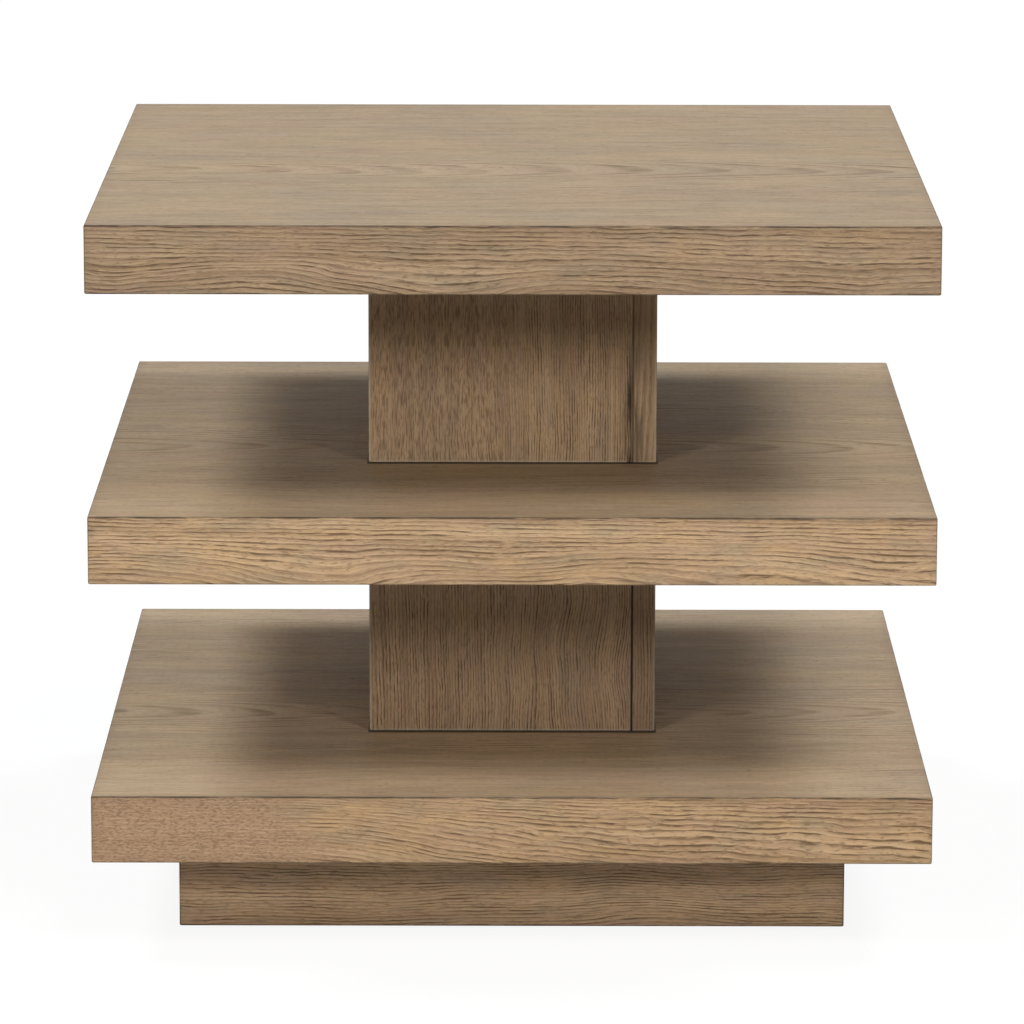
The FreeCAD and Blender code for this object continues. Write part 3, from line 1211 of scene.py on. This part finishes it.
@dataclass
class Hardware:
    """Small pieces that are modelled in full where a CAD node has plain solids."""

    suffix: str
    slot: str
    twist: float = 0.0
    tip_share: float = 0.1
    tree: TurnedTree | None = field(default=None, init=False)

    def grown(self) -> TurnedTree:
        """Gives the tree that makes one piece and copies it."""
        raise NotImplementedError

    def stance(self, low: Vector, high: Vector, index: int) -> tuple[Vector, Vector]:
        """Stands a piece on the middle of its solid's base, turned a little further than the last.

        Args:
            low: lowest corner of the solid.
            high: highest corner of the solid.
            index: number of the piece in its node.

        Returns:
            Where its base stands, and how it is turned, as Euler angles.
        """
        middle = (low + high) / 2
        return Vector((middle.x, middle.y, low.z)), Vector((0.0, 0.0, self.twist * index))

    def sizes(self, size: Vector) -> tuple[float, float]:
        """Gives a piece's length and radius from the size of its solid."""
        return size.z, size.x / 2

    def replace(self, node: str) -> None:
        """Makes the pieces of one CAD node in full and stands them in its place.

        Args:
            node: the node's name.
        """
        if self.tree is None:
            self.tree = self.grown()
        boxes = solids_of(node)
        stances = [self.stance(low, high, index) for index, (low, high) in enumerate(boxes)]
        low, high = boxes[0]
        piece = self.tree.piece(f"{node}_{self.suffix}", stances, *self.sizes(high - low))
        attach(piece, BODY)
        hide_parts(node)
        LOG.info("%s stands for %s with %d faces", piece.name, node, len(piece.data.polygons))


@dataclass
class Screws(Hardware):
    """Countersunk wood screws with a cross recess, driven upwards."""

    suffix: str = "threaded"
    slot: str = "zinc_steel"
    twist: float = 0.5
    core_share: float = 0.74
    shank_radius: float = 2.5 * MM
    head_height: float = 3 * MM
    head_lip: float = 0.4 * MM
    point_length: float = 6 * MM
    pitch: float = 2.2 * MM
    thread_steps: int = 14
    thread_corners: int = 4
    recess_depth: float = 1.9 * MM
    recess_reach: float = 2.9 * MM
    recess_width: float = 1.0 * MM
    sides: int = 28

    def grown(self) -> TurnedTree:
        """Builds the tree: a turned body with its thread, less the cross recess.

        Returns:
            The tree that makes one screw and copies it.
        """
        tree = TurnedTree("screw_tree")
        core = self.shank_radius * self.core_share
        body = tree.turned(
            [
                (0.0, tree.radius),
                (self.head_lip, tree.radius),
                (self.head_height, core),
                (tree.length - self.point_length, core),
                (tree.length, self.tip_share * core),
            ],
            tree.circle(self.sides),
        )
        sockets = {"Mesh 2": [body, self.thread(tree, core)]}
        threaded = tree.out("GeometryNodeMeshBoolean", sockets, operation="UNION", solver="EXACT")
        wide, narrow, deep = 2 * self.recess_reach, self.recess_width, 2 * self.recess_depth
        slots = [
            tree.out("GeometryNodeMeshCube", {"Size": size})
            for size in ((wide, narrow, deep), (narrow, wide, deep))
        ]
        sockets = {"Mesh 1": threaded, "Mesh 2": slots}
        cut = tree.out("GeometryNodeMeshBoolean", sockets, operation="DIFFERENCE", solver="EXACT")
        tree.close(cut, ZincPlate().material())
        return tree

    def thread(self, tree: TurnedTree, core: float) -> Socket:
        """Winds the thread round the core, from a little above the head to the point.

        Args:
            tree: the tree that it belongs to.
            core: radius of the core.

        Returns:
            The thread's mesh.
        """
        start = 2 * self.head_height
        height = tree.length - self.point_length - start
        spiral = tree.out(
            "GeometryNodeCurveSpiral",
            {
                "Resolution": self.thread_steps,
                "Rotations": height / self.pitch,
                "Start Radius": core,
                "End Radius": core,
                "Height": height,
            },
        )
        ridge = tree.swept(spiral, tree.circle(self.thread_corners), self.shank_radius - core)
        return tree.out("GeometryNodeTransform", {"Geometry": ridge, "Translation": (0.0, 0.0, start)})


@dataclass
class Dowels(Hardware):
    """Fluted dowels across the lapped joints of a column."""

    suffix: str = "fluted"
    slot: str = "dowel_beech"
    flutes: int = 18
    flute_depth_share: float = 0.07
    chamfer: float = 1 * MM
    chamfer_share: float = 0.78
    ring: float = 2 * MM

    def grown(self) -> TurnedTree:
        """Builds the tree: a star-shaped section, chamfered at both ends.

        Returns:
            The tree that makes one dowel and copies it.
        """
        tree = TurnedTree("dowel_tree")
        inner = 1.0 - self.flute_depth_share
        sockets = {"Points": self.flutes, "Inner Radius": inner, "Outer Radius": 1.0}
        small = tree.radius * self.chamfer_share
        body = tree.turned(
            [
                (0.0, small),
                (self.chamfer, tree.radius),
                (tree.length - self.chamfer, tree.radius),
                (tree.length, small),
            ],
            tree.out("GeometryNodeCurveStar", sockets),
        )
        beech = RawWood("raw_beech", Axis.UP, BEECH_LIGHT, BEECH_DARK, self.ring)
        tree.close(body, beech.material())
        return tree

    def stance(self, low: Vector, high: Vector, index: int) -> tuple[Vector, Vector]:
        """Lays a dowel along its solid, from the left or from the back.

        Args:
            low: lowest corner of the solid.
            high: highest corner of the solid.
            index: number of the piece in its node.

        Returns:
            Where its base stands, and how it is turned, as Euler angles.
        """
        middle, size = (low + high) / 2, high - low
        if size.x > size.y:
            return Vector((low.x, middle.y, middle.z)), Vector((0.0, math.pi / 2, 0.0))
        return Vector((middle.x, high.y, middle.z)), Vector((math.pi / 2, 0.0, 0.0))

    def sizes(self, size: Vector) -> tuple[float, float]:
        """Gives a dowel's length and radius from the size of its solid."""
        return max(size.x, size.y), size.z / 2


@dataclass
class Glides(Hardware):
    """Tack glides: a domed nylon foot on a nail. The dome's shares are of its height and its radius."""

    suffix: str = "domed"
    slot: str = "glide_nylon"
    foot_height: float = 2.5 * MM
    nail_radius: float = 1 * MM
    nail_point: float = 3 * MM
    dome_shares: tuple[Span, ...] = ((0.0, 0.80), (0.05, 0.90), (0.16, 0.965), (0.32, 1.0), (1.0, 1.0))
    sides: int = 48

    def grown(self) -> TurnedTree:
        """Builds the tree: the domed foot and the nail, turned in one.

        Returns:
            The tree that makes one glide and copies it.
        """
        tree = TurnedTree("glide_tree")
        dome = [(up * self.foot_height, tree.radius * out) for up, out in self.dome_shares]
        nail = [
            (self.foot_height, self.nail_radius),
            (tree.length - self.nail_point, self.nail_radius),
            (tree.length, self.tip_share * self.nail_radius),
        ]
        tree.close(tree.turned(dome + nail, tree.circle(self.sides)), Nylon().material())
        return tree


@dataclass
class Assembly:
    """A part of the table with a veneered board on each side. The front one is as photographed."""

    name: str
    front_leaf: Leaf
    stain: Stain
    draw: random.Random

    def boards(self, part: str) -> dict[Side, str]:
        """Names the board on each side."""
        return {side: f"{self.name}_{side.word}_{part}" for side in Side}

    def dress_boards(self, front: Oak, part: str, width: float, right_share: float = 1.0) -> None:
        """Veneers the boards, and draws a leaf for each that isn't at the front.

        Args:
            front: the veneer of the front board.
            part: what a board is called.
            width: width of a board across the grain.
            right_share: how bright the stain is on the right.
        """
        for side, name in self.boards(part).items():
            oak = replace(front, name=f"oak_{name}", side=side)
            if side is not Side.FRONT:
                oak = replace(oak, leaf=Leaf.drawn(self.draw, width, front.leaf.ring))
            if side is Side.RIGHT:
                oak = replace(oak, stain=front.stain.toned(right_share))
            dress(name, oak.material())

    def leave_raw(self, part: str, along: Axis = Axis.UP) -> None:
        """Leaves a piece in raw pine, whose grain runs along that axis."""
        name = f"{self.name}_{part}"
        dress(name, RawWood(f"raw_pine_{name}", along, PINE_LIGHT, PINE_DARK).material())


@dataclass(frozen=True)
class TierLook:
    """What tells one tier from the others.

    The shares set how bright the stain is on its edges and its skins, and the greys how far it goes
    towards grey. They are partly the stain's own differences and partly painted light and shade that evens
    out the light each tier's faces get, so the well-lit top of the top tier is made darkest; the greys on
    the skins partly stand in for a painted pale sheen. The column is the one that stands on the tier.
    """

    name: str
    front_leaf: Leaf
    top_leaf: Leaf
    edge_share: float
    edge_grey: float
    skin_share: float
    skin_grey_and_sheen: float
    column: str | None = None


TIER_LOOKS = (
    TierLook(
        "bottom_tier",
        front_leaf=replace(
            ARCHED, seed=21.4, ring=2.4 * MM, sway=12 * MM, drop=26 * MM, flake_end=-0.16
        ),
        top_leaf=replace(FLAT, seed=52.2),
        edge_share=1.0,
        edge_grey=0.04,
        skin_share=0.97,
        skin_grey_and_sheen=0.06,
        column="lower_column",
    ),
    TierLook(
        "middle_tier",
        front_leaf=replace(ARCHED, seed=41.3),
        top_leaf=replace(FLAT, seed=45.9),
        edge_share=1.13,
        edge_grey=0.07,
        skin_share=0.87,
        skin_grey_and_sheen=0.01,
        column="upper_column",
    ),
    TierLook(
        "top_tier",
        front_leaf=replace(ARCHED, start=51 * MM),
        top_leaf=FLAT,
        edge_share=0.92,
        edge_grey=0.14,
        skin_share=0.66,
        skin_grey_and_sheen=0.02,
    ),
)


@dataclass
class Tier(Assembly):
    """One hollow tier: skins, edge boards and what is inside."""

    look: TierLook

    @classmethod
    def looking(cls, look: TierLook, draw: random.Random) -> "Tier":
        """Gives the tier of that look."""
        # Edge tone: partly the stain's own, partly painted light and shade that evens out each tier's
        # light.
        stain = EDGE_STAIN.toned(look.edge_share, look.edge_grey)
        return cls(look.name, look.front_leaf, stain, draw, look)

    def dress(self) -> None:
        """Finishes every piece of the tier."""
        look = self.look
        low, high = box_of(list(self.boards("edge").values()))
        arris = Arris(low, high, top_line=0.8, line=0.4, shade=0.2)
        leaf, stain = self.front_leaf, self.stain
        front = Oak("front", Grain.LENGTHWISE, Side.FRONT, leaf, stain, arris, EDGE_FIGURE)
        self.dress_boards(front, "edge", high.z - low.z)
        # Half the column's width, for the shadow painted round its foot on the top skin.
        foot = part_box(f"{look.column}_right_panel")[1].x if look.column else None
        self.dress_skin("top_panel", look.top_leaf, SKIN_STAIN, arris, foot)
        underside = replace(look.top_leaf, seed=self.draw.uniform(*SEEDS))
        self.dress_skin("underside_panel", underside, BACKING_STAIN, arris, None)
        self.leave_raw("core_block", Axis.RIGHT)
        self.leave_raw("core_ribs", Axis.BACK)
        self.leave_raw("corner_blocks")

    def dress_skin(self, part: str, leaf: Leaf, stain: Stain, arris: Arris, foot: float | None) -> None:
        """Finishes the upper or the lower skin.

        Args:
            part: the skin's name within the tier.
            leaf: its veneer.
            stain: its stain, before the tier's own share and grey, which are partly painted light, shade
                and sheen.
            arris: the tier's edges.
            foot: half the width of the column that stands on the skin, where a shadow is painted, or None.
        """
        name = f"{self.name}_{part}"
        # Skin tone, undersides too: partly the stain's own, partly painted light and shade and a painted
        # grey sheen.
        own = stain.toned(self.look.skin_share, self.look.skin_grey_and_sheen)
        oak = Oak(f"oak_{name}", Grain.FLAT, Side.FRONT, leaf, own, arris, SKIN_FIGURE, foot=foot)
        dress(name, oak.material())


@dataclass
class Column(Assembly):
    """One box column of lapped panels, with its dowels, blocks and screws."""

    joint_look: JointLook
    right_share: float
    screws: Screws
    dowels: Dowels

    def dress(self) -> None:
        """Finishes every piece of the column."""
        panels = self.boards("panel")
        low, high = box_of(list(panels.values()))
        joint = Joint(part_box(panels[Side.FRONT])[1].x, low.z, self.joint_look)
        # The pale arris band is part wear, part painted highlight on the eased arris.
        arris = Arris(low, high, worn=0.8, reach=2.6 * MM)
        leaf, stain = self.front_leaf, self.stain
        front = Oak("front", Grain.UPRIGHT, Side.FRONT, leaf, stain, arris, COLUMN_FIGURE, joint)
        self.dress_boards(front, "panel", high.x, self.right_share)
        for part in ("top_blocks", "base_blocks"):
            self.leave_raw(part)
        self.dowels.replace(f"{self.name}_dowels")
        for part in ("top_screws", "base_screws"):
            self.screws.replace(f"{self.name}_{part}")


@dataclass
class Plinth(Assembly):
    """The recessed plinth, its blocks, screws and glides."""

    screws: Screws
    glides: Glides

    def dress(self) -> None:
        """Finishes every piece of the plinth."""
        low, high = box_of(list(self.boards("board").values()))
        arris = Arris(low, high, line=0.8, shade=0.2)
        leaf, stain = self.front_leaf, self.stain
        front = Oak("front", Grain.LENGTHWISE, Side.FRONT, leaf, stain, arris, PLINTH_FIGURE)
        self.dress_boards(front, "board", high.z - low.z)
        self.leave_raw("corner_blocks")
        self.screws.replace(f"{self.name}_screws")
        self.glides.replace(f"{self.name}_glides")


@dataclass(frozen=True)
class Lamp:
    """A round soft box, near the table or far away.

    Its strength is the brightness that it gives a white face turned to it, and its spread is the angle
    that it fills, both at the height that it aims at.
    """

    name: str
    azimuth: float
    strength: float
    warmth: float = 0.0
    elevation: float = 54.0
    spread: float = 17.0
    distance: float | None = None
    aim: float = 0.41

    @classmethod
    def low(cls, name: str, azimuth: float, strength: float) -> "Lamp":
        """Gives a warm lamp that stands low and near the table."""
        return cls(name, azimuth, strength, warmth=0.06, elevation=19.8, spread=12.5, distance=4.3)

    def hang(self) -> None:
        """Adds the lamp, which shines at the table from its azimuth and elevation."""
        around, up = math.radians(self.azimuth), math.radians(self.elevation)
        level = math.cos(up)
        back = Vector((math.sin(around) * level, -math.cos(around) * level, math.sin(up)))
        light = bpy.data.lights.new(self.name, "AREA" if self.distance else "SUN")
        light.energy = self.strength * math.pi
        light.color = (1.0 + self.warmth, 1.0, 1.0 - self.warmth)
        lamp = bpy.data.objects.new(self.name, light)
        if self.distance is None:
            light.angle = math.radians(self.spread)
        else:
            light.energy *= math.pi * self.distance**2
            light.shape = "DISK"
            light.size = 2 * self.distance * math.tan(math.radians(self.spread / 2))
            lamp.location = Vector((0.0, 0.0, self.aim)) + back * self.distance
            lamp.visible_camera = False
        lamp.rotation_mode = "QUATERNION"
        lamp.rotation_quaternion = back.to_track_quat("Z", "Y")
        bpy.context.scene.collection.objects.link(lamp)


@dataclass(frozen=True)
class Studio:
    """White floor and surroundings, soft boxes and the camera."""

    lamps: tuple[Lamp, ...] = (
        Lamp.low("low_front_right_box", azimuth=30, strength=0.192),
        Lamp.low("low_front_left_box", azimuth=330, strength=0.224),
        Lamp("front_right_box", azimuth=30, strength=0.277, warmth=0.04),
        Lamp("right_box", azimuth=60, strength=0.11),
        Lamp("front_left_box", azimuth=305, strength=0.19, warmth=0.04),
        Lamp("back_right_box", azimuth=120, strength=0.40, warmth=-0.06),
        Lamp("back_left_box", azimuth=240, strength=0.45, warmth=-0.06),
    )
    white_rays: tuple[str, str, str] = ("Is Camera Ray", "Is Glossy Ray", "Is Transmission Ray")
    floor_half: float = 9.0
    floor_white: float = 1.0
    floor_bounce: float = 0.6
    bounce_start: float = 0.6
    bounce_end: float = 2.7
    floor_glow: float = 0.9
    fill: float = 0.02
    focal_pixels: float = 6028.7
    sensor: float = 36.0
    eye: tuple[float, float, float] = (0.0013, -4.904, 1.3243)
    pitch: float = 11.973
    yaw: float = -0.02
    roll: float = 0.101

    def build(self) -> None:
        """Builds the whole studio."""
        bpy.context.scene.view_settings.view_transform = "Standard"
        self.lay_floor()
        self.surround()
        for lamp in self.lamps:
            lamp.hang()
        self.set_camera()
        LOG.info("studio with %d lamps", len(self.lamps))

    def seen_white(self, graph: NodeGraph) -> Field:
        """Gives 1 to rays that show the surroundings as white, and 0 to those that only light.

        Args:
            graph: the tree that asks.

        Returns:
            The share of white.
        """
        rays = graph.node("ShaderNodeLightPath").outputs
        camera, glossy, through = (Field(graph, rays[kind]) for kind in self.white_rays)
        return camera.most(glossy).most(through)

    def lay_floor(self) -> None:
        """Lays a white floor that keeps part of the table's shadow."""
        half = self.floor_half
        corners = [(-half, -half, 0.0), (half, -half, 0.0), (half, half, 0.0), (-half, half, 0.0)]
        mesh = bpy.data.meshes.new("studio_floor")
        mesh.from_pydata(corners, [], [range(len(corners))])
        floor = bpy.data.objects.new("studio_floor", mesh)
        bpy.context.scene.collection.objects.link(floor)
        graph = ShaderGraph("studio_floor_white")
        seen = self.seen_white(graph)
        x, y, _ = graph.place()
        distance = (x * x + y * y) ** 0.5
        bounce = distance.rise(self.bounce_end, self.bounce_start) * self.floor_bounce
        pale = bounce + seen * (self.floor_white - bounce)
        paint = graph.out("ShaderNodeCombineColor", {"Red": pale, "Green": pale, "Blue": pale})
        matt = graph.out("ShaderNodeBsdfDiffuse", {"Color": paint})
        glow = graph.out("ShaderNodeEmission", {"Color": WHITE, "Strength": 1.0})
        mixed = graph.out("ShaderNodeMixShader", {0: seen * self.floor_glow, 1: matt, 2: glow})
        graph.node("ShaderNodeOutputMaterial", {"Surface": mixed})
        mesh.materials.append(graph.material)

    def surround(self) -> None:
        """Makes white surroundings that hardly light the table."""
        world = bpy.data.worlds.new("studio_white")
        bpy.context.scene.world = world
        world.use_nodes = True
        graph = NodeGraph(world.node_tree)
        strength = self.fill + self.seen_white(graph) * (1.0 - self.fill)
        sky = graph.out("ShaderNodeBackground", {"Color": WHITE, "Strength": strength})
        graph.node("ShaderNodeOutputWorld", {"Surface": sky})

    def set_camera(self) -> None:
        """Sets the camera where the photograph was taken from."""
        data = bpy.data.cameras.new("photo_camera")
        data.sensor_width = self.sensor
        data.lens = self.sensor * self.focal_pixels / IMAGE_SIDE
        camera = bpy.data.objects.new("photo_camera", data)
        bpy.context.scene.collection.objects.link(camera)
        camera.matrix_world = (
            Matrix.Translation(self.eye)
            @ Matrix.Rotation(math.radians(-self.yaw), 4, "Z")
            @ Matrix.Rotation(math.radians(90 - self.pitch), 4, "X")
            @ Matrix.Rotation(math.radians(self.roll), 4, "Z")
        )
        bpy.context.scene.camera = camera


def main() -> None:
    """Builds and dresses the table piece by piece, then the studio."""
    logging.basicConfig(level=logging.INFO, format="%(name)s: %(message)s")
    draw = random.Random(DRAW_SEED)
    screws, dowels = Screws(), Dowels()
    for look in TIER_LOOKS:
        Tier.looking(look, draw).dress()
    lower = Column(
        "lower_column",
        LOWER_COLUMN_LEAF,
        LOWER_COLUMN_STAIN_AND_LIGHT,
        draw,
        CRISP_JOINT,
        right_share=0.78,
        screws=screws,
        dowels=dowels,
    )
    lower.dress()
    upper = Column(
        "upper_column",
        UPPER_COLUMN_LEAF,
        UPPER_COLUMN_STAIN_AND_LIGHT,
        draw,
        SMEARED_JOINT,
        right_share=0.88,
        screws=screws,
        dowels=dowels,
    )
    upper.dress()
    Plinth("plinth", PLINTH_LEAF, PLINTH_STAIN_AND_LIGHT, draw, screws, Glides()).dress()
    Studio().build()


if __name__ == "__main__":
    main()
